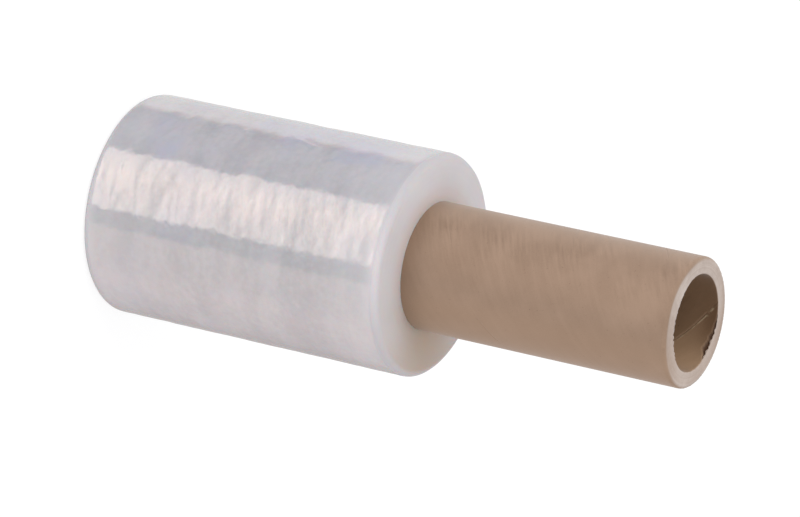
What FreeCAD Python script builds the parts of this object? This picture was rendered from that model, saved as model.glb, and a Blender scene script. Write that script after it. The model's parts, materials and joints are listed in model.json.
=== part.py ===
"""Hand roll of clear stretch film, wound on a cardboard core that sticks out at one end as a handle.

The roll stands on its film end. +Z is the axis of the roll and points out of the core's open mouth.
The origin is the middle of the standing end. Angles are measured from +X towards +Y.
All sizes are in millimetres and degrees.
"""

import FreeCAD
import Part

import math
import os

# Film: width of the web, size of the wound roll and the soft rounding of its outer edges
FILM_WIDTH = 125.0
FILM_DIAMETER = 82.5
FILM_EDGE_RADIUS = 3.0

# Bands of turns on the two ends of the roll, some of which stand back a little behind the others
TURN_BAND_PITCH = 3.0
TURN_BAND_DEPTH = 0.14
TURN_BAND_CYCLE = 3

# Loose end of the film: where it lies round the roll, its step, and how far round the step dies away
TAIL_ANGLE = 100.0
TAIL_STEP = 0.25
TAIL_BLEND_ANGLE = 70.0

# Core: a tube wound from strips of board, cut square, with edges eased by the saw
CORE_OUTER_DIAMETER = 47.4
CORE_BORE_DIAMETER = 35.0
HANDLE_LENGTH = 106.0
CORE_OUTER_EDGE_RADIUS = 1.5
CORE_BORE_EDGE_CHAMFER = 0.4

# Strips of board that the core is wound from, which leave a shallow helical groove where they meet
BOARD_STRIP_WIDTH = 69.0
BOARD_THICKNESS = 0.45
SEAM_GAP = 0.6
BORE_SEAM_ANGLE_AT_MOUTH = 121.5
OUTER_SEAM_ANGLE_AT_MOUTH = 252.0

# Ragged bites where the innermost strip has torn at the mouth of the bore
TEAR_START_ANGLE = 59.0
TEAR_END_ANGLE = 86.0
TEAR_BITE_RADII = (0.8, 1.1, 0.9, 1.3, 1.0, 0.7)

# Cones that a rounded rim is made of
RIM_CONES = 3

# How far a cutting shape runs past the face that it cuts
OVERRUN = 2.0

ORIGIN = FreeCAD.Vector(0, 0, 0)
UP = FreeCAD.Vector(0, 0, 1)

film_radius = FILM_DIAMETER / 2
core_radius = CORE_OUTER_DIAMETER / 2
bore_radius = CORE_BORE_DIAMETER / 2
core_length = FILM_WIDTH + HANDLE_LENGTH


def around(radius, angle, z=0.0):
    """Point at a radius and an angle about the roll's axis."""
    turn = math.radians(angle)
    return FreeCAD.Vector(radius * math.cos(turn), radius * math.sin(turn), z)


def beside(radius, z):
    """Point of a section that is turned about the roll's axis."""
    return FreeCAD.Vector(radius, 0, z)


def line(start, end):
    """Straight edge between two points."""
    return Part.LineSegment(start, end).toShape()


def arc(start, middle, end):
    """Round edge through three points."""
    return Part.Arc(start, middle, end).toShape()


def rounded_rim(radius, end_z, edge_radius, inwards):
    """Quarter round where a wall of some radius meets an end face, from the face to the wall.

    It is drawn as a few straight runs, so that the rim turns into narrow cones.
    inwards is 1 where the wall runs up from the face, and -1 where it runs down from it.
    """
    centre_radius = radius - edge_radius
    centre_z = end_z + inwards * edge_radius
    points = []
    for step in range(RIM_CONES + 1):
        turn = math.pi / 2 * step / RIM_CONES
        reach = edge_radius * math.sin(turn)
        drop = edge_radius * math.cos(turn)
        points.append(beside(centre_radius + reach, centre_z - inwards * drop))
    return Part.makePolygon(points).Edges


def turned(edges):
    """Solid that a closed section sweeps out when it turns once about the roll's axis."""
    return Part.Face(Part.Wire(edges)).revolve(ORIGIN, UP, 360)


def seam_lead():
    """How far a seam climbs in one turn, which is the same in every layer of the wall.

    A strip that covers its mandrel edge to edge lies at asin(width / circumference).
    """
    circumference = math.pi * CORE_BORE_DIAMETER
    lay_angle = math.asin(BOARD_STRIP_WIDTH / circumference)
    return circumference * math.tan(lay_angle)


def seam_groove(wall_radius, into_wall, angle_at_mouth):
    """Helical gap between the edges of one strip, as deep as the board is thick.

    into_wall is 1 where the wall lies outside the radius, as at the bore, and -1 where it lies inside.
    """
    lead = seam_lead()
    start_z = -lead / 4
    climb = core_length - 2 * start_z
    open_radius = wall_radius - into_wall * BOARD_THICKNESS
    floor_radius = wall_radius + into_wall * BOARD_THICKNESS
    low_z = start_z - SEAM_GAP / 2
    high_z = start_z + SEAM_GAP / 2
    corners = [
        beside(open_radius, low_z),
        beside(floor_radius, low_z),
        beside(floor_radius, high_z),
        beside(open_radius, high_z),
    ]
    section = Part.makePolygon(corners + corners[:1])
    path = Part.makeHelix(lead, climb, wall_radius)
    path.translate(FreeCAD.Vector(0, 0, start_z))
    groove = Part.Wire(path.Edges).makePipeShell([section], True, True)
    turns_to_mouth = (core_length - start_z) / lead
    groove.rotate(ORIGIN, UP, angle_at_mouth - 360 * turns_to_mouth)
    return groove


def tear_bites():
    """Row of small balls along the mouth's inner edge, which bite the torn edge out of it."""
    step = (TEAR_END_ANGLE - TEAR_START_ANGLE) / (len(TEAR_BITE_RADII) - 1)
    bites = []
    for place, bite_radius in enumerate(TEAR_BITE_RADII):
        centre = around(bore_radius, TEAR_START_ANGLE + place * step, core_length - bite_radius / 2)
        bites.append(Part.makeSphere(bite_radius, centre))
    return bites


def cardboard_core():
    """Wall of the tube with eased edges, one seam in the bore, one outside, and the torn edge."""
    chamfer = CORE_BORE_EDGE_CHAMFER
    edge = CORE_OUTER_EDGE_RADIUS
    round_start = core_radius - edge
    section = [
        line(beside(bore_radius, chamfer), beside(bore_radius + chamfer, 0)),
        line(beside(bore_radius + chamfer, 0), beside(round_start, 0)),
        *rounded_rim(core_radius, 0, edge, 1),
        line(beside(core_radius, edge), beside(core_radius, core_length - edge)),
        *rounded_rim(core_radius, core_length, edge, -1)[::-1],
        line(beside(round_start, core_length), beside(bore_radius + chamfer, core_length)),
        line(beside(bore_radius + chamfer, core_length), beside(bore_radius, core_length - chamfer)),
        line(beside(bore_radius, core_length - chamfer), beside(bore_radius, chamfer)),
    ]
    tube = turned(section)
    tube = tube.cut(seam_groove(bore_radius, 1, BORE_SEAM_ANGLE_AT_MOUTH))
    tube = tube.cut(seam_groove(core_radius, -1, OUTER_SEAM_ANGLE_AT_MOUTH))
    return tube.cut(tear_bites())


def end_steps():
    """Inner radius, outer radius and set-back of each band of turns, from the core outwards.

    The outermost band stands proudest, so the roll rests on it.
    """
    outer = film_radius - FILM_EDGE_RADIUS
    count = max(1, round((outer - core_radius) / TURN_BAND_PITCH))
    pitch = (outer - core_radius) / count
    steps = []
    for band in range(count):
        from_outside = count - 1 - band
        share = from_outside * 2 % TURN_BAND_CYCLE / (TURN_BAND_CYCLE - 1)
        start = core_radius + band * pitch
        steps.append((start, start + pitch, TURN_BAND_DEPTH * share))
    return steps


def wound_turns():
    """All turns of the film as one ring, with rounded outer edges and bands on both ends."""
    lower_end = []
    upper_end = []
    for start, end, set_back in end_steps():
        lower_end += [beside(start, set_back), beside(end, set_back)]
        upper_end += [beside(start, FILM_WIDTH - set_back), beside(end, FILM_WIDTH - set_back)]
    edge = FILM_EDGE_RADIUS
    section = Part.makePolygon(lower_end).Edges
    section += rounded_rim(film_radius, 0, edge, 1)
    section.append(line(beside(film_radius, edge), beside(film_radius, FILM_WIDTH - edge)))
    section += rounded_rim(film_radius, FILM_WIDTH, edge, -1)[::-1]
    section += Part.makePolygon(upper_end[::-1]).Edges
    section.append(line(upper_end[0], lower_end[0]))
    return turned(section)


def tail_relief():
    """Thin crescent that the last turn lacks past the film's loose end, which leaves its step."""
    middle_angle = TAIL_ANGLE + TAIL_BLEND_ANGLE / 2
    end_angle = TAIL_ANGLE + TAIL_BLEND_ANGLE
    beyond = film_radius + OVERRUN
    foot = around(film_radius - TAIL_STEP, TAIL_ANGLE)
    run_out = around(film_radius, end_angle)
    crescent = Part.Face(Part.Wire([
        arc(foot, around(film_radius - TAIL_STEP / 2, middle_angle), run_out),
        line(run_out, around(beyond, end_angle)),
        arc(around(beyond, end_angle), around(beyond, middle_angle), around(beyond, TAIL_ANGLE)),
        line(around(beyond, TAIL_ANGLE), foot),
    ]))
    crescent.translate(FreeCAD.Vector(0, 0, -OVERRUN))
    return crescent.extrude(FreeCAD.Vector(0, 0, FILM_WIDTH + 2 * OVERRUN))


def film_roll():
    """The wound film, tight on the core, with its loose end lying on the last turn."""
    return wound_turns().cut(tail_relief())


os.makedirs("parts", exist_ok=True)
for name, shape in {"cardboard_core": cardboard_core(), "film_roll": film_roll()}.items():
    shape.exportStep(f"parts/{name}.step")
    print(name, len(shape.Solids), "solid,", round(shape.Volume), "mm3, valid:", shape.isValid())
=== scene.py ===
"""Looks of the roll of clear stretch film and its kraft core, in a plain white studio.

Everything is in metres in the roll's own frame: the roll stands on its film end, +Z is its axis.
Angles round the roll are measured from +X towards +Y.
"""

import json
import math

import bmesh
import bpy
import numpy as np
from mathutils import Matrix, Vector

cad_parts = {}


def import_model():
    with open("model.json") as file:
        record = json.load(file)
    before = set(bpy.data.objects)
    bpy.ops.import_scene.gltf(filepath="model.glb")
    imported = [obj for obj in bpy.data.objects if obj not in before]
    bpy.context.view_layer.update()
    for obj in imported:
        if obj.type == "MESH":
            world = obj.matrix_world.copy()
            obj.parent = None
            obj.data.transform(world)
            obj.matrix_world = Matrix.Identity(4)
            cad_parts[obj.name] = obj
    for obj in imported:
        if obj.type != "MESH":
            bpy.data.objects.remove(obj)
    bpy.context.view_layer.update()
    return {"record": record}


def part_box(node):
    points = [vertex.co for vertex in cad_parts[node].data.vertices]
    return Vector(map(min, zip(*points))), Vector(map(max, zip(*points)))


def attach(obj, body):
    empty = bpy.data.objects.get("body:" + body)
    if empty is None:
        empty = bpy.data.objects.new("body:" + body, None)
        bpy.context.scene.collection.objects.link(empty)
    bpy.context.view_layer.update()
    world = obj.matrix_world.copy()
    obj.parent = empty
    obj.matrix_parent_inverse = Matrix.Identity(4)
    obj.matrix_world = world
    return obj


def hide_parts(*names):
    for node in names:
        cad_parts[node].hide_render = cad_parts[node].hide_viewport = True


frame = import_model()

MM = 0.001
SEED = 7
FULL_TURN = 2 * math.pi

# Sizes that come from the CAD model
mounts = {mount["name"]: mount["dims"] for mount in frame["record"]["mounts"]}
film_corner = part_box("film_roll")[1]
FILM_RADIUS = film_corner[0]
FILM_WIDTH = film_corner[2]
CORE_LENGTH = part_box("cardboard_core")[1][2]
CORE_RADIUS = mounts["core_handle"]["r_mm"] * MM
BORE_RADIUS = mounts["core_bore"]["r_mm"] * MM

# Film: mesh density, rounded rims, depth of the bands on its ends, and its loose end
FILM_COLUMNS = 432
FILM_SIDE_ROWS = 156
FILM_RIM_ROWS = 14
FILM_END_ROWS = 16
FILM_EDGE = 3.6 * MM
END_SET_BACK = 0.05 * MM
TAIL_ANGLE = math.radians(100)
TAIL_STEP = 0.25 * MM
TAIL_BLEND = math.radians(70)

# Brown shade of the core on the handle end of the film: its middle and half width in degrees
SHADE_ANGLE = 13
SHADE_HALF_WIDTH = 66

# Short creases in the film's side: start and end as (degrees, height), width and lift
CREASES = (
    ((222, 26 * MM), (241, 20 * MM), 0.7 * MM, 0.16 * MM),
    ((226, 28.5 * MM), (236, 24.5 * MM), 0.6 * MM, -0.14 * MM),
    ((218, 21 * MM), (229, 17 * MM), 0.6 * MM, 0.12 * MM),
    ((213, 49 * MM), (226, 55 * MM), 0.6 * MM, 0.13 * MM),
    ((213, 70 * MM), (219, 84 * MM), 0.7 * MM, 0.12 * MM),
    ((219, 93 * MM), (227, 88 * MM), 0.7 * MM, -0.11 * MM),
    ((270, 35.6 * MM), (278, 35.9 * MM), 0.5 * MM, 0.08 * MM),
    ((248, 11.2 * MM), (276, 11.4 * MM), 0.9 * MM, -0.05 * MM),
)

# Core: mesh density, eased edges, and the gap between the strips of board that it is wound from
CORE_COLUMNS = 384
WALL_ROWS_PER_TURN = 20
CORE_EDGE = 1.5 * MM
CORE_RIM_ROWS = 7
CUT_FACE_ROWS = 9
BORE_CHAMFER = 0.4 * MM
SEAM_LEAD = 88.6 * MM
SEAM_HALF_GAP = 0.25 * MM
OUTER_SEAM_DEPTH = 0.05 * MM
BORE_SEAM_DEPTH = 0.16 * MM
OUTER_SEAM_AT_MOUTH = math.radians(252)
BORE_SEAM_AT_MOUTH = math.radians(121.5)

# Torn edge of the innermost layer at the mouth: degrees, depth where it starts and how deep it reaches in mm
TEAR = (
    (40, 0.0, 0.0),
    (47, 0.3, 0.4),
    (53, 0.6, 1.5),
    (59, 0.8, 2.1),
    (66, 0.8, 2.4),
    (73, 0.6, 2.1),
    (80, 0.4, 1.5),
    (90, 0.25, 1.0),
    (102, 0.1, 0.5),
    (112, 0.0, 0.0),
)
TEAR_THICKNESS = 0.8 * MM
MOUTH_RING_DEPTHS = (0.25, 0.45, 0.65, 0.85, 1.1, 1.35, 1.65, 2.0, 2.4, 2.85, 3.4, 4.2)

# Burr that the saw has pressed into the bore: angle of its middle, half width and height
BURR_ANGLE = math.radians(280)
BURR_HALF_WIDTH = math.radians(75)
BURR_HEIGHT = 1.1 * MM

# Camera: it looks at a point on the roll's axis and is rolled so that the roll lies across the picture
CAMERA_LENS = 218.8
CAMERA_DISTANCE = 1.7598
CAMERA_HEIGHT_ON_AXIS = 0.1109
CAMERA_ELEVATION = math.radians(28.0)
CAMERA_ROLL = math.radians(102.33)

# Studio panels that the gloss shows, as azimuth in degrees and colour, with an even blend from each to the next.
# Panels whose red lies over the range SLATTED are broken up by slats. Over the range CALM of radians above and
# below the height that the camera sees, no colour stays over CALM_TOP. Panels whose red lies under the range DIM
# turn plain over the range LIT.
SLATTED = (1.6, 2.2)
DIM = (0.2, 0.45)
CALM = (0.1, 0.25)
CALM_TOP = (0.95, 0.95, 0.95)
LIT = (0.2, 0.5)
PANELS = (
    (0, (1.5, 1.18, 1.09)),
    (25, (0.9, 0.75, 0.73)),
    (58, (0.52, 0.46, 0.45)),
    (92, (0.5, 0.48, 0.48)),
    (97, (0.71, 0.7, 0.7)),
    (120, (0.76, 0.75, 0.74)),
    (135, (0.82, 0.78, 0.77)),
    (150, (0.95, 0.89, 0.9)),
    (155, (0.6, 0.42, 0.4)),
    (161, (0.12, 0.13, 0.23)),
    (219, (0.13, 0.14, 0.25)),
    (222, (2.15, 1.85, 1.75)),
    (243, (3.12, 2.53, 2.22)),
    (262, (2.75, 2.24, 2.0)),
    (283, (2.5, 2.2, 2.02)),
    (285, (0.6, 0.58, 0.58)),
    (301, (0.6, 0.58, 0.58)),
    (304, (1.5, 1.25, 1.15)),
    (360, (1.55, 1.22, 1.12)),
)


def waves(seed, angle, height, around, length, count=24):
    """Smooth uneven field of unit spread: a sum of waves that close round the roll.

    around is the range of waves per turn, and length the range of wavelengths along the axis.
    """
    random = np.random.default_rng(SEED * 1000 + seed)
    field = np.zeros(np.broadcast(angle, height).shape)
    for _ in range(count):
        turns = random.integers(around[0], around[1] + 1)
        pitch = math.exp(random.uniform(math.log(length[0]), math.log(length[1])))
        climb = random.choice((-1, 1)) * FULL_TURN / pitch
        field += np.cos(turns * angle + climb * height + random.uniform(0, FULL_TURN))
    return field * math.sqrt(2 / count)


def uneven(seed, place, length, count=16):
    """Smooth uneven line of unit spread, with a range of wavelengths."""
    return waves(seed, 0.0, place, (0, 0), length, count)


def ragged(seed, angle, grain):
    """Uneven edge of unit spread, with a grain given as a length round the core's wall."""
    most = int(FULL_TURN * CORE_RADIUS / grain)
    return waves(seed, angle, 0.0, (most // 4, most), (1.0, 2.0), 40)


def uneven_round(seed, angle):
    """Slow uneven line of unit spread that closes round the roll."""
    return waves(seed, angle, 0.0, (2, 11), (1.0, 2.0), 16)


def smooth_step(value, low, high):
    """0 below low, 1 above high, and a smooth rise between them."""
    share = np.clip((value - low) / (high - low), 0, 1)
    return share * share * (3 - 2 * share)


def lobe(angle, middle, half_width):
    """1 at an angle round the roll, fading to both sides of it. middle and half_width are in degrees."""
    aside = (angle - math.radians(middle) + math.pi) % FULL_TURN - math.pi
    return np.exp(-((aside / math.radians(half_width)) ** 2))


def quads(rows):
    """Four-sided faces between neighbouring rows of point numbers."""
    return np.stack([rows[:-1, :-1], rows[:-1, 1:], rows[1:, 1:], rows[1:, :-1]], -1).reshape(-1, 4)


def closed(rows):
    """Rows of point numbers that end with the column they start with."""
    return np.column_stack([rows, rows[:, :1]])


def mesh_object(name, points, faces, material, attributes):
    """Smooth-shaded mesh of the object that rides on its body, with named values at its points."""
    mesh = bpy.data.meshes.new(name)
    mesh.from_pydata(points.tolist(), [], faces.tolist())
    mesh.materials.append(material)
    for key, values in attributes.items():
        layer = mesh.attributes.new(key, "FLOAT", "POINT")
        layer.data.foreach_set("value", np.asarray(values, dtype=np.float32).ravel())
    tidy = bmesh.new()
    tidy.from_mesh(mesh)
    bmesh.ops.remove_doubles(tidy, verts=tidy.verts, dist=0.002 * MM)
    bmesh.ops.recalc_face_normals(tidy, faces=tidy.faces)
    tidy.to_mesh(mesh)
    tidy.free()
    mesh.polygons.foreach_set("use_smooth", np.ones(len(mesh.polygons), dtype=bool))
    mesh.update()
    made = bpy.data.objects.new(name, mesh)
    bpy.context.scene.collection.objects.link(made)
    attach(made, "root")
    return made


# Shader building


def add(tree, kind, inputs=None, **settings):
    """New shader node. An input is given a value, or is linked if it is another node's socket."""
    made = tree.nodes.new(kind)
    for key, value in settings.items():
        setattr(made, key, value)
    for key, value in (inputs or {}).items():
        if isinstance(value, bpy.types.NodeSocket):
            tree.links.new(value, made.inputs[key])
        else:
            made.inputs[key].default_value = value
    return made


def maths(tree, operation, *values):
    """Output of a Math node."""
    return add(tree, "ShaderNodeMath", dict(enumerate(values)), operation=operation).outputs[0]


def noise(tree, where, scale, detail=2.0, roughness=0.5):
    """Output of a noise whose grain is 1 / scale long along each axis, from 0 to 1."""
    placed = add(tree, "ShaderNodeMapping", {"Vector": where, "Scale": scale}).outputs[0]
    inputs = {"Vector": placed, "Scale": 1.0, "Detail": detail, "Roughness": roughness}
    return add(tree, "ShaderNodeTexNoise", inputs).outputs[0]


def weighted(tree, *parts):
    """Sum of outputs that each have a weight."""
    total = maths(tree, "MULTIPLY", *parts[0])
    for value, weight in parts[1:]:
        total = maths(tree, "MULTIPLY_ADD", value, weight, total)
    return total


def ramp(tree, value, low, high, to_low=0.0, to_high=1.0):
    """Value carried from one range to another, held at its ends."""
    inputs = {0: value, 1: low, 2: high, 3: to_low, 4: to_high}
    return add(tree, "ShaderNodeMapRange", inputs, interpolation_type="SMOOTHSTEP").outputs[0]


def blend(tree, share, first, second):
    """Colour between two colours."""
    made = add(tree, "ShaderNodeMix", data_type="RGBA")
    tree.links.new(share, made.inputs[0])
    for place, value in ((6, first), (7, second)):
        if isinstance(value, bpy.types.NodeSocket):
            tree.links.new(value, made.inputs[place])
        else:
            made.inputs[place].default_value = (*value, 1.0)
    return made.outputs[2]


def bump(tree, height, distance, normal=None):
    """Normal bent by a height from 0 to 1 that stands for a distance in metres."""
    inputs = {"Height": height, "Distance": distance, "Strength": 1.0}
    if normal is not None:
        inputs["Normal"] = normal
    return add(tree, "ShaderNodeBump", inputs).outputs[0]


def attribute(tree, name):
    """Value stored at the mesh's points."""
    return add(tree, "ShaderNodeAttribute", attribute_name=name).outputs["Fac"]


def distance_from_axis(tree, where):
    """Radius at a point of the roll, as a place for a noise of rings."""
    split = add(tree, "ShaderNodeSeparateXYZ", {0: where}).outputs
    flat = add(tree, "ShaderNodeCombineXYZ", {0: split[0], 1: split[1], 2: 0.0}).outputs[0]
    radius = add(tree, "ShaderNodeVectorMath", {0: flat}, operation="LENGTH").outputs["Value"]
    return add(tree, "ShaderNodeCombineXYZ", {0: radius, 1: 0.0, 2: 0.0}).outputs[0]


def new_material(name, **uniform):
    """Material with a Principled shader, its node tree, that shader and the object's own coordinates."""
    material = bpy.data.materials.new(name)
    material.use_nodes = True
    tree = material.node_tree
    shader = tree.nodes["Principled BSDF"]
    for key, value in uniform.items():
        shader.inputs[key.replace("_", " ")].default_value = value
    where = add(tree, "ShaderNodeTexCoord").outputs["Object"]
    return material, tree, shader, where


def film_colour(tree, where, streaks, rings):
    """Milky film: cool and warm patches on the side, and pale ends with painted light and shade: darker at the rim,
    lighter at the rim towards the light, brown near the core and brown on the side away from the light.
    """
    clouds = noise(tree, where, (55, 55, 80), 3.0)
    bands = noise(tree, where, (8, 8, 75), 2.0)
    mottle = noise(tree, where, (420, 420, 420), 2.0)
    side_tone = weighted(tree, (streaks, 0.2), (clouds, 0.35), (bands, 0.25), (mottle, 0.2))
    side = blend(tree, ramp(tree, side_tone, 0.4, 0.6), (0.432, 0.423, 0.44), (0.507, 0.494, 0.512))
    place = add(tree, "ShaderNodeSeparateXYZ", {0: where}).outputs
    cool = ramp(tree, noise(tree, where, (42, 42, 38), 2.0), 0.5, 0.64, 0.0, 0.62)
    cool = maths(tree, "MULTIPLY", cool, ramp(tree, place[0], -0.5 * FILM_RADIUS, -0.2 * FILM_RADIUS, 1.0, 0.4))
    side = blend(tree, cool, side, (0.455, 0.458, 0.54))
    warm = ramp(tree, noise(tree, where, (66, 66, 60), 3.0), 0.52, 0.66, 0.0, 0.3)
    side = blend(tree, warm, side, (0.51, 0.475, 0.48))
    from_middle = maths(tree, "ABSOLUTE", maths(tree, "SUBTRACT", place[2], FILM_WIDTH / 2))
    towards_end = ramp(tree, from_middle, 0.26 * FILM_WIDTH, 0.5 * FILM_WIDTH, 0.0, 0.42)
    side = blend(tree, towards_end, side, (0.62, 0.605, 0.62))
    end_tone = weighted(tree, (rings, 0.25), (clouds, 0.75))
    end = blend(tree, ramp(tree, end_tone, 0.36, 0.64), (0.635, 0.613, 0.622), (0.668, 0.646, 0.656))
    # Painted light and shade on the ends: the rim darker, the rim lighter towards the light, brown shade near the core
    # and the core's brown shade away from the light
    end = blend(tree, attribute(tree, "rim"), end, (0.49, 0.485, 0.5))
    end = blend(tree, attribute(tree, "lit_rim"), end, (0.655, 0.635, 0.655))
    end = blend(tree, attribute(tree, "near_core_shade"), end, (0.62, 0.49, 0.45))
    shaded = attribute(tree, "shaded")
    end = blend(tree, maths(tree, "MULTIPLY", shaded, 0.85), end, (0.53, 0.5, 0.495))
    end = blend(tree, maths(tree, "POWER", shaded, 2.4), end, (0.51, 0.39, 0.29))
    return blend(tree, attribute(tree, "end"), side, end)


def film_material():
    """Stretch film: glossy side with wrinkles that run round it, and frosted ends with faint rings."""
    material, tree, shader, where = new_material(
        "film_turns", IOR=1.5, Coat_Roughness=0.035, Coat_IOR=1.6, Subsurface_Weight=0.4, Subsurface_Scale=0.005,
    )
    ring_place = distance_from_axis(tree, where)
    streaks = noise(tree, where, (16, 16, 190), 3.0, 0.5)
    rings = noise(tree, ring_place, (500, 1, 1), 1.0)
    fine_rings = noise(tree, ring_place, (4200, 1, 1), 2.0)
    tree.links.new(film_colour(tree, where, streaks, rings), shader.inputs["Base Color"])
    matt = ramp(tree, attribute(tree, "end"), 0.44, 0.94)
    side_roughness = ramp(tree, streaks, 0.35, 0.65, 0.05, 0.13)
    end_roughness = ramp(tree, fine_rings, 0.3, 0.7, 0.28, 0.4)
    rougher = maths(tree, "SUBTRACT", end_roughness, side_roughness)
    tree.links.new(maths(tree, "MULTIPLY_ADD", rougher, matt, side_roughness), shader.inputs["Roughness"])
    glossy = maths(tree, "SUBTRACT", 1.0, matt)
    dull_patches = ramp(tree, noise(tree, where, (85, 85, 150), 3.0, 0.55), 0.5, 0.6, 1.0, 0.72)
    tree.links.new(maths(tree, "MULTIPLY", glossy, dull_patches), shader.inputs["Coat Weight"])
    wrinkles = maths(tree, "SUBTRACT", noise(tree, where, (92, 92, 122), 3.0, 0.6), 0.5)
    folds = maths(tree, "SUBTRACT", noise(tree, where, (48, 48, 330), 2.0, 0.5), 0.5)
    normal = bump(tree, maths(tree, "MULTIPLY", wrinkles, glossy), 0.42 * MM)
    normal = bump(tree, maths(tree, "MULTIPLY", folds, glossy), 0.065 * MM, normal)
    normal = bump(tree, maths(tree, "MULTIPLY", rings, matt), 0.012 * MM, normal)
    normal = bump(tree, maths(tree, "MULTIPLY", fine_rings, matt), 0.004 * MM, normal)
    tree.links.new(normal, shader.inputs["Normal"])
    return material


def board_material():
    """Kraft board with ribs that wind as its seams do, paler where cut, with painted light and shade on its sides, in
    the bore, next to the film and where torn.
    """
    material, tree, shader, where = new_material("kraft_board", IOR=1.45, Sheen_Weight=0.3, Sheen_Roughness=0.35)
    side_on, _, height = add(tree, "ShaderNodeSeparateXYZ", {0: where}).outputs
    turn = maths(tree, "MULTIPLY", height, -FULL_TURN / SEAM_LEAD)
    wound = add(tree, "ShaderNodeVectorRotate", {"Vector": where, "Angle": turn}, rotation_type="Z_AXIS").outputs[0]
    ribs = noise(tree, wound, (430, 430, 200), 2.0, 0.5)
    ribbed = ramp(tree, noise(tree, where, (42, 42, 42), 2.0), 0.42, 0.6, 0.2, 1.0)
    ribbed = maths(tree, "MULTIPLY", ribbed, ramp(tree, side_on, -0.8 * CORE_RADIUS, 0.3 * CORE_RADIUS, 1.0, 0.2))
    ribs = maths(tree, "MULTIPLY_ADD", maths(tree, "SUBTRACT", ribs, 0.5), ribbed, 0.5)
    broad_streaks = noise(tree, wound, (210, 210, 45), 2.0)
    fibres = noise(tree, where, (2400, 2400, 2400), 2.0)
    clouds = noise(tree, where, (48, 48, 48), 3.0)
    tone = weighted(tree, (ribs, 0.42), (broad_streaks, 0.1), (clouds, 0.36), (fibres, 0.12))
    tone = ramp(tree, tone, 0.38, 0.62)
    outside = blend(tree, tone, (0.275, 0.18, 0.119), (0.357, 0.24, 0.166))
    # Painted sheen at the grazing -X edge of the outer wall, and painted light over its +X side
    painted_sheen = ramp(tree, side_on, -0.97 * CORE_RADIUS, -0.6 * CORE_RADIUS, 0.5, 0.0)
    outside = blend(tree, painted_sheen, outside, (0.38, 0.268, 0.19))
    painted_light_plus_x = ramp(tree, side_on, 0.2 * CORE_RADIUS, 0.7 * CORE_RADIUS, 0.0, 0.5)
    outside = blend(tree, painted_light_plus_x, outside, (0.37, 0.24, 0.154))
    # Painted shade on the outer wall where it meets the film
    painted_shade_at_film = ramp(tree, height, FILM_WIDTH, FILM_WIDTH + 10 * MM, 0.34, 0.0)
    outside = blend(tree, painted_shade_at_film, outside, (0.19, 0.115, 0.067))
    # Shaded and lit copies of the bore's board, a painted shade and a painted light, blended by the painted light and
    # shade stored at its points
    dark = blend(tree, tone, (0.115, 0.06, 0.028), (0.155, 0.085, 0.042))
    light = blend(tree, tone, (0.4, 0.26, 0.155), (0.48, 0.32, 0.2))
    inside = blend(tree, attribute(tree, "painted_bore_light"), dark, light)
    colour = blend(tree, attribute(tree, "bore"), outside, inside)
    specks = ramp(tree, noise(tree, where, (1400, 1400, 1400), 1.0), 0.71, 0.78, 0.0, 0.4)
    colour = blend(tree, specks, colour, (0.15, 0.09, 0.055))
    breaks = ramp(tree, noise(tree, where, (420, 420, 420), 2.0), 0.4, 0.6, 0.15, 0.75)
    colour = blend(tree, maths(tree, "MULTIPLY", attribute(tree, "seam"), breaks), colour, (0.5, 0.385, 0.25))
    ring_place = distance_from_axis(tree, where)
    layers = noise(tree, ring_place, (1700, 1, 1), 1.0)
    grain = noise(tree, where, (500, 500, 500), 3.0, 0.55)
    warmth = noise(tree, where, (70, 70, 70), 1.0)
    cut_tone = weighted(tree, (layers, 0.4), (grain, 0.25), (warmth, 0.35))
    cut = blend(tree, ramp(tree, cut_tone, 0.34, 0.66), (0.43, 0.345, 0.29), (0.575, 0.49, 0.43))
    colour = blend(tree, attribute(tree, "cut"), colour, cut)
    # Painted shade in the hollow where the innermost layer is torn away
    colour = blend(tree, attribute(tree, "tear_shade"), colour, (0.1, 0.05, 0.026))
    tree.links.new(colour, shader.inputs["Base Color"])
    tree.links.new(ramp(tree, ribs, 0.3, 0.7, 0.5, 0.64), shader.inputs["Roughness"])
    normal = bump(tree, ribs, 0.04 * MM)
    normal = bump(tree, fibres, 0.012 * MM, normal)
    tree.links.new(normal, shader.inputs["Normal"])
    return material


# Film roll


def tail_relief(angle, height):
    """How far the surface drops past the loose end of the film, and fades back round the roll."""
    edge = TAIL_ANGLE + math.radians(1.2) * uneven(11, height, (12 * MM, 90 * MM), 6)
    past = (angle - edge) / TAIL_BLEND
    return np.where((past > 0) & (past < 1), TAIL_STEP * (1 - past), 0.0)


def crease(angle, height, start, end, width, lift):
    """Ridge along a short line on the roll's side."""
    run = np.array([FILM_RADIUS * math.radians(end[0] - start[0]), end[1] - start[1]])
    length = np.hypot(*run)
    run = run / length
    across = FILM_RADIUS * (angle - math.radians(start[0]))
    along = height - start[1]
    travelled = (across * run[0] + along * run[1]) / length
    aside = across * run[1] - along * run[0]
    fade = smooth_step(travelled, 0.0, 0.25) * (1 - smooth_step(travelled, 0.75, 1.0))
    return lift * fade * np.exp(-((aside / width) ** 2))


def side_offset(angle, height):
    """How far the side of the roll stands out from a true cylinder."""
    gauge_bands = 0.018 * MM * uneven(1, height, (4 * MM, 30 * MM))
    wobble = 0.04 * MM * waves(2, angle, height, (2, 8), (12 * MM, 60 * MM))
    ripple = 0.012 * MM * waves(3, angle, height, (8, 22), (3 * MM, 9 * MM), 40)
    offset = gauge_bands + wobble + ripple - tail_relief(angle, height)
    for line in CREASES:
        offset = offset + crease(angle, height, *line)
    return offset


def soft_corner():
    """Quarter turn that bends in and out gradually, as shares of its reach outwards and along the axis."""
    fineness = 20
    turn = math.pi / 2 * smooth_step(np.linspace(0, 1, fineness * FILM_RIM_ROWS), 0.0, 1.0)
    outwards = np.cumsum(np.cos(turn))
    along = np.cumsum(np.sin(turn))
    picked = slice(fineness - 1, None, fineness)
    return zip(outwards[picked] / outwards[-1], along[picked] / along[-1])


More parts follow.
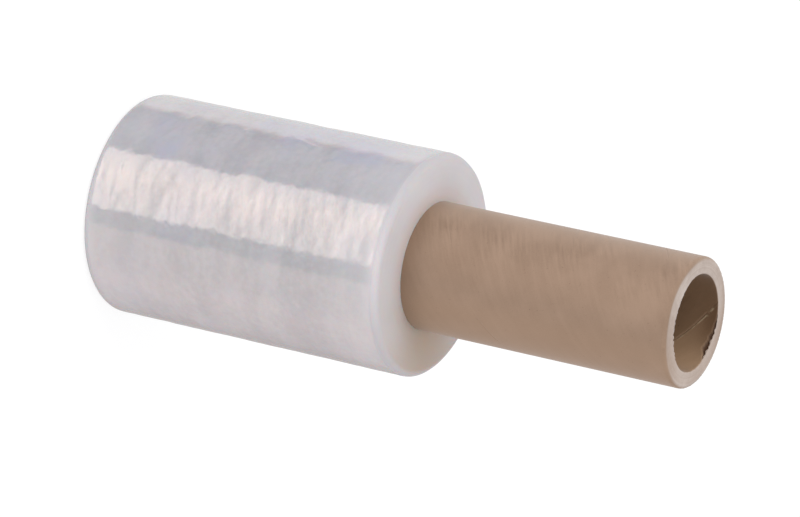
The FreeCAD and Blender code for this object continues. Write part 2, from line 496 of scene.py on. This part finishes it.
def film_section():
    """Half of the film's closed section as columns of radius and height, from the core's foot to the middle."""
    flat = FILM_RADIUS - FILM_EDGE
    end = np.linspace(CORE_RADIUS + 0.06 * MM, flat, FILM_END_ROWS + 1)
    end = [(radius, 0.0) for radius in (CORE_RADIUS, *end)]
    rim = [(flat + FILM_EDGE * outwards, FILM_EDGE * along) for outwards, along in soft_corner()]
    heights = np.linspace(FILM_EDGE, FILM_WIDTH / 2, FILM_SIDE_ROWS // 2 + 1)[1:]
    heights = [FILM_EDGE + 0.12 * MM, *heights]
    return np.array(end + rim + [(FILM_RADIUS, height) for height in heights])


def core_shade(angle, radius):
    """Share of brown that the core casts on the end of the film, on the side away from the light."""
    outwards = (radius - CORE_RADIUS) / (FILM_RADIUS - CORE_RADIUS)
    in_rim = smooth_step(radius, FILM_RADIUS - 3 * MM, FILM_RADIUS)
    return lobe(angle, SHADE_ANGLE, SHADE_HALF_WIDTH) * (0.98 - 0.14 * outwards) * (1 - in_rim)


def film_roll():
    """The wound film as one closed ring of turns."""
    half = film_section()
    other_half = half[-2::-1] * (1, -1) + (0, FILM_WIDTH)
    radius, height = np.concatenate([half, other_half]).T[:, :, None]
    angle = np.arange(FILM_COLUMNS) * FULL_TURN / FILM_COLUMNS
    from_end = np.minimum(height, FILM_WIDTH - height)
    in_end = 1 - smooth_step(from_end, 0.0, 7.2 * MM)
    in_rim = smooth_step(radius, FILM_RADIUS - FILM_EDGE, FILM_RADIUS)
    # Painted brown shade and bounce next to the core, on both ends of the film
    near_core_shade = 0.64 * (1 - smooth_step(radius, CORE_RADIUS, CORE_RADIUS + 9 * MM))
    frayed = smooth_step(FILM_RADIUS - radius, FILM_EDGE, 2.4 * FILM_EDGE)
    reach = radius + in_rim * side_offset(angle, height)
    top = height > FILM_WIDTH / 2
    bands = np.where(top, uneven(22, radius, (3 * MM, 9 * MM)), uneven(21, radius, (3 * MM, 9 * MM)))
    lean = waves(23, angle, radius, (1, 3), (8 * MM, 30 * MM), 10)
    set_back = frayed * END_SET_BACK * np.clip(0.5 + 0.3 * bands + 0.15 * lean, 0, 1)
    stand = height + np.where(top, -set_back, set_back)
    points = np.stack([reach * np.cos(angle), reach * np.sin(angle), stand], -1)
    count = len(radius)
    rows = np.arange(count * FILM_COLUMNS).reshape(count, FILM_COLUMNS)
    rows = np.concatenate([rows, rows[:1]])
    round_the_end = 0 * angle
    made = mesh_object(
        "wound_film", points.reshape(-1, 3), quads(closed(rows)), film_material(),
        {
            # Values for the film's painted light and shade: a darker rim, a lighter rim towards the light, brown shade
            # near the core and the core's brown shade away from the light
            "end": in_end + round_the_end, "rim": in_rim + round_the_end, "near_core_shade": near_core_shade + round_the_end,
            "shaded": core_shade(angle, radius) * top, "lit_rim": in_rim * lobe(angle, 279, 34),
        },
    )
    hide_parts("film_roll")


# Cardboard core


def bore_tone(angle, height, lit):
    """Painted light and shade of the bore, from 0 for shaded to 1 for lit: it turns lighter with depth, and more so on
    the lit strip and the low side.
    """
    deep = smooth_step(CORE_LENGTH - height, 0.0, 17 * MM)
    low_side = 1 - smooth_step((np.degrees(angle) + 90) % 360 - 90, 35, 95)
    shaded = 0.13 + 0.45 * deep
    bright = (0.02 + 0.66 * low_side) * (1 - deep) + deep
    return shaded + lit * (bright - shaded)


def groove(angle, height, seam_at_mouth):
    """Depth of the gap between two strips of board, tint of its lifted edge and the painted light and shade of the
    strips, from 0 to 1.
    """
    seam_height = CORE_LENGTH + SEAM_LEAD * (angle - seam_at_mouth) / FULL_TURN
    above = (height - seam_height + SEAM_LEAD / 2) % SEAM_LEAD - SEAM_LEAD / 2
    gaps = above / SEAM_HALF_GAP
    depth = np.interp(gaps, (-1, -0.7, 0.7, 1, 2.2, 5), (0, 1, 1, 0, -0.25, 0))
    tint = np.interp(gaps, (0.7, 1, 3.2, 4), (0, 1, 1, 0))
    lit = np.interp(above / SEAM_LEAD, (-0.5, -0.3, -0.003, 0.003, 0.3, 0.5), (0.5, 0, 0, 1, 1, 0.5))
    return depth, tint, bore_tone(angle, height, lit)


def tear(angle, depth):
    """How much of the innermost layer is torn away at a depth below the mouth, from 0 to 1."""
    degrees, first, last = np.array(TEAR).T
    first = np.interp(np.degrees(angle), degrees, first) * (1 + 0.3 * ragged(70, angle, 2.6 * MM))
    last = np.interp(np.degrees(angle), degrees, last) * np.clip(0.95 + 0.13 * ragged(71, angle, 3 * MM), 0.6, 1.2)
    first, last = first * MM, np.maximum(last, first) * MM
    open_enough = smooth_step(last - first, 0.1 * MM, 0.5 * MM)
    return open_enough * smooth_step(depth, first - 0.1 * MM, first + 0.15 * MM) * (
        1 - smooth_step(depth, last - 0.2 * MM, last + 0.1 * MM)
    )


def burr(angle):
    """How far the saw's burr stands into the bore at the mouth."""
    aside = np.abs((angle - BURR_ANGLE + math.pi) % FULL_TURN - math.pi)
    return BURR_HEIGHT * (1 - smooth_step(aside, 0.3 * BURR_HALF_WIDTH, BURR_HALF_WIDTH)) * (
        0.9 + 0.12 * ragged(72, angle, 2.2 * MM)
    )


def wall(radius, into_wall, seam_depth, seam_at_mouth, low, high):
    """Rows that follow the seam of one wall of the core and stop square at both ends.

    Returns radius, height, seam tint and the strips' painted light and shade as columns of angle, and how many rows
    make one turn.
    """
    angle = np.arange(CORE_COLUMNS) * FULL_TURN / CORE_COLUMNS
    marks = [gaps * SEAM_HALF_GAP for gaps in (-5, -1, -0.7, 0.7, 1, 2.2, 3.2, 4, 5)]
    plain = np.linspace(marks[-1], SEAM_LEAD + marks[0], WALL_ROWS_PER_TURN)[1:-1]
    pattern = np.concatenate([marks, plain])
    seam_height = CORE_LENGTH + SEAM_LEAD * (angle - seam_at_mouth) / FULL_TURN
    turns_below = math.ceil(seam_height.max() / SEAM_LEAD) + 2
    turns_above = math.ceil((high - seam_height.min()) / SEAM_LEAD) + 2
    above = np.concatenate([pattern + turn * SEAM_LEAD for turn in range(-turns_below, turns_above)])
    height = np.clip(seam_height + above[:, None], low, high)
    depth, tint, painted_bore_light = groove(angle, height, seam_at_mouth)
    if into_wall < 0:
        depth = depth * smooth_step(waves(50, angle, height, (1, 5), (15 * MM, 60 * MM)), -0.1, 1.2)
    return radius + into_wall * seam_depth * depth, height, tint, painted_bore_light, len(pattern)


def end_rings(angle, top):
    """Rings from the outer wall round the rim, over the cut face and into the bore, at one end of the core.

    Each is radius, depth below the end, seam tint, the strips' painted light and shade, and its shares of cut face,
    bore and torn layer, the last of which carries painted shade.
    """
    seed = 40 if top else 60
    blank = np.zeros_like(angle)
    flat_radius = CORE_RADIUS - CORE_EDGE
    lip = burr(angle) if top else blank
    inner = BORE_RADIUS + BORE_CHAMFER - lip
    folded = lobe(angle, 288, 44)
    worn = lobe(angle, 215, 28)
    # Where the rim and the cut face are less pale round the mouth, and where the cut face is duller
    less_pale = 1 - 0.7 * lobe(angle, 95, 50) - 0.4 * lobe(angle, 315, 38)
    duller = 1 - 0.34 * lobe(angle, 312, 46) - 0.2 * lobe(angle, 50, 52)
    kraft_edge = MM * (1.3 + 1.4 * folded + 1.0 * worn + 0.12 * uneven_round(seed + 9, angle))
    soft = MM * (0.5 + 0.25 * folded + 0.5 * worn)
    rings = []
    for step in range(1, CORE_RIM_ROWS + 1):
        turn = math.pi / 2 * step / CORE_RIM_ROWS
        wear = 0.04 * MM * ragged(seed + step, angle, 1.1 * MM) * math.sin(2 * turn)
        depth = CORE_EDGE * (1 - math.sin(turn)) - 0.4 * wear
        pale = less_pale * smooth_step(CORE_EDGE * turn, kraft_edge - soft, kraft_edge + soft)
        rings.append((flat_radius + CORE_EDGE * math.cos(turn) + wear, depth, blank, blank, pale, blank, blank))
    for step in range(1, CUT_FACE_ROWS):
        share = step / CUT_FACE_ROWS
        across = (flat_radius - inner) * share
        pale = smooth_step(CORE_EDGE * math.pi / 2 + across, kraft_edge - soft, kraft_edge + soft)
        pale = pale * (less_pale + (1 - less_pale) * share) * duller
        layer = 0.03 * MM * (step % 2) + 0.03 * MM * abs(ragged(seed + 10 + step, angle, 2 * MM))
        rings.append((flat_radius - across, layer, blank, blank, pale, blank, blank))
    fray = ragged(seed + 30, angle, 1.3 * MM)
    edge = inner - 0.15 * MM + 0.04 * MM * fray
    rings.append((edge, 0.06 * MM + 0.02 * MM * fray, blank, blank, duller, blank, blank))
    first = np.interp(np.degrees(angle), *np.array(TEAR).T[:2]) * MM if top else blank
    for ring_depth in MOUTH_RING_DEPTHS:
        depth = ring_depth * MM
        gap, tint, painted_bore_light = groove(angle, CORE_LENGTH - depth if top else depth, BORE_SEAM_AT_MOUTH)
        gone = tear(angle, depth) if top else blank
        eased = BORE_CHAMFER * max(0.0, 0.3 - depth / MM * 0.6) - lip * (1 - smooth_step(depth, 0.0, 3.4 * MM))
        radius = BORE_RADIUS + eased + BORE_SEAM_DEPTH * gap + TEAR_THICKNESS * gone
        pale = 0.85 * (1 - smooth_step(depth, first - 0.1 * MM, first + 0.3 * MM)) * (1 - gone)
        rings.append((radius, depth + blank, tint, painted_bore_light, pale, blank + 1, gone))
    return rings


def cardboard_core():
    """The wound tube: both walls with their seams, the rounded rims and the cut faces, as one closed mesh."""
    angle = np.arange(CORE_COLUMNS) * FULL_TURN / CORE_COLUMNS
    bore_end = MOUTH_RING_DEPTHS[-1] * MM
    walls = (
        wall(CORE_RADIUS, -1, OUTER_SEAM_DEPTH, OUTER_SEAM_AT_MOUTH, CORE_EDGE, CORE_LENGTH - CORE_EDGE),
        wall(BORE_RADIUS, 1, BORE_SEAM_DEPTH, BORE_SEAM_AT_MOUTH, bore_end, CORE_LENGTH - bore_end),
    )
    values = []
    numbers = []
    faces = []
    start = 0
    for in_bore, (radius, height, tint, painted_bore_light, rows_per_turn) in enumerate(walls):
        count = len(height)
        rows = start + np.arange(count * CORE_COLUMNS).reshape(count, CORE_COLUMNS)
        turned_on = rows[np.minimum(np.arange(count) + rows_per_turn, count - 1), 0]
        faces.append(quads(np.column_stack([rows, turned_on])))
        blank = np.zeros_like(height)
        values.append(np.stack([radius + blank, height, tint * in_bore, painted_bore_light, blank, blank + in_bore, blank]))
        numbers.append(rows)
        start += rows.size
    for top in (True, False):
        rings = np.array([np.broadcast_arrays(*ring) for ring in end_rings(angle, top)])
        rings = rings.transpose(1, 0, 2)
        rings[1] = CORE_LENGTH - rings[1] if top else rings[1]
        rows = start + np.arange(rings[0].size).reshape(rings[0].shape)
        side = -1 if top else 0
        joined = np.concatenate([numbers[0][[side]], rows, numbers[1][[side]]])
        faces.append(quads(closed(joined)))
        values.append(rings)
        start += rows.size
    radius, height, seam, painted_bore_light, cut, bore, tear_shade = np.concatenate(values, axis=1)
    points = np.stack([radius * np.cos(angle), radius * np.sin(angle), height], -1).reshape(-1, 3)
    faces = np.concatenate(faces)
    made = mesh_object(
        "wound_core", points, faces, board_material(),
        {"seam": seam, "painted_bore_light": painted_bore_light, "cut": cut, "bore": bore, "tear_shade": tear_shade},
    )
    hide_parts("cardboard_core")


# Studio


def camera():
    """Camera at the photograph's viewing angle, looking down at the axis and rolled on its side."""
    data = bpy.data.cameras.new("camera")
    data.lens = CAMERA_LENS
    data.clip_end = 20.0
    made = bpy.data.objects.new("camera", data)
    aim = Matrix.Translation((0, 0, CAMERA_HEIGHT_ON_AXIS))
    turned = Matrix.Rotation(math.pi / 2 - CAMERA_ELEVATION, 4, "X") @ Matrix.Rotation(CAMERA_ROLL, 4, "Z")
    made.matrix_world = aim @ turned @ Matrix.Translation((0, 0, CAMERA_DISTANCE))
    bpy.context.scene.collection.objects.link(made)
    bpy.context.scene.camera = made


def floor():
    """White floor that keeps a faint shadow and that the glossy film doesn't mirror."""
    half = 6.0
    mesh = bpy.data.meshes.new("floor")
    corners = [(-half, -half, 0), (half, -half, 0), (half, half, 0), (-half, half, 0)]
    mesh.from_pydata(corners, [], [(0, 1, 2, 3)])
    material = bpy.data.materials.new("floor_paper")
    material.use_nodes = True
    tree = material.node_tree
    tree.nodes.clear()
    paper = add(tree, "ShaderNodeBsdfDiffuse", {"Color": (0.9, 0.9, 0.9, 1.0)}).outputs[0]
    white = add(tree, "ShaderNodeEmission", {"Color": (1.0, 1.0, 1.0, 1.0), "Strength": 1.1}).outputs[0]
    share = maths(tree, "MULTIPLY", add(tree, "ShaderNodeLightPath").outputs["Is Camera Ray"], 0.75)
    mixed = add(tree, "ShaderNodeMixShader", {0: share, 1: paper, 2: white}).outputs[0]
    add(tree, "ShaderNodeOutputMaterial", {0: mixed})
    mesh.materials.append(material)
    made = bpy.data.objects.new("floor", mesh)
    made.location.z = -0.2 * MM
    made.visible_glossy = False
    bpy.context.scene.collection.objects.link(made)


def world():
    """White surroundings, with the studio's bright and dim panels standing round the roll in its gloss."""
    made = bpy.data.worlds.new("studio")
    bpy.context.scene.world = made
    made.use_nodes = True
    made.cycles.sampling_method = "NONE"
    tree = made.node_tree
    tree.nodes.clear()
    way = add(tree, "ShaderNodeSeparateXYZ", {0: add(tree, "ShaderNodeTexCoord").outputs["Generated"]}).outputs
    azimuth = maths(tree, "ARCTAN2", way[1], way[0])
    turn = maths(tree, "FRACT", maths(tree, "MULTIPLY_ADD", azimuth, 1 / FULL_TURN, 1.0))
    panels = add(tree, "ShaderNodeValToRGB", {0: turn})
    stops = panels.color_ramp.elements
    stops[1].position = 1.0
    for degrees, colour in PANELS[1:-1]:
        stops.new(degrees / 360).color = (*colour, 1.0)
    stops[0].color = (*PANELS[0][1], 1.0)
    stops[len(stops) - 1].color = (*PANELS[-1][1], 1.0)
    rays = add(tree, "ShaderNodeLightPath").outputs
    elevation = maths(tree, "ARCSINE", way[2])
    aside = maths(tree, "ABSOLUTE", maths(tree, "ADD", elevation, CAMERA_ELEVATION))
    calm = add(tree, "ShaderNodeVectorMath", {0: panels.outputs[0], 1: CALM_TOP}, operation="MINIMUM")
    away = ramp(tree, aside, *CALM)
    seen = blend(tree, away, panels.outputs[0], calm.outputs[0])
    red = add(tree, "ShaderNodeSeparateColor", {0: panels.outputs[0]}).outputs[0]
    lit = maths(tree, "MULTIPLY", ramp(tree, aside, *LIT), ramp(tree, red, *DIM, 1.0, 0.0))
    seen = blend(tree, lit, seen, (0.9, 0.9, 0.91))
    colour = blend(tree, rays["Is Glossy Ray"], (0.87, 0.87, 0.89), seen)
    colour = blend(tree, rays["Is Camera Ray"], colour, (1.0, 1.0, 1.0))
    slats = maths(tree, "SINE", maths(tree, "MULTIPLY_ADD", elevation, -11.0, -5.38))
    slatted = maths(tree, "MULTIPLY", ramp(tree, red, *SLATTED, 0.0, 0.5), maths(tree, "SUBTRACT", 1.0, away))
    strength = maths(tree, "MULTIPLY_ADD", slats, slatted, 1.0)
    strength = ramp(tree, rays["Is Glossy Ray"], 0.0, 1.0, 1.0, strength)
    back = add(tree, "ShaderNodeBackground", {"Color": colour, "Strength": strength}).outputs[0]
    add(tree, "ShaderNodeOutputWorld", {0: back})


def lamp(name, azimuth, elevation, distance, size, power):
    """Soft square lamp that looks at the roll from an angle, left out of its gloss."""
    data = bpy.data.lights.new(name, "AREA")
    data.energy = power
    data.size = size
    made = bpy.data.objects.new(name, data)
    turned = Matrix.Rotation(math.radians(azimuth + 90), 4, "Z") @ Matrix.Rotation(math.radians(90 - elevation), 4, "X")
    made.matrix_world = Matrix.Translation((0, 0, FILM_WIDTH)) @ turned @ Matrix.Translation((0, 0, distance))
    made.visible_glossy = False
    bpy.context.scene.collection.objects.link(made)


bpy.context.scene.view_settings.view_transform = "Standard"
camera()
world()
floor()
lamp("key", azimuth=215, elevation=34, distance=1.4, size=0.9, power=6.4)
lamp("fill", azimuth=335, elevation=30, distance=1.6, size=1.1, power=1.7)
film_roll()
cardboard_core()
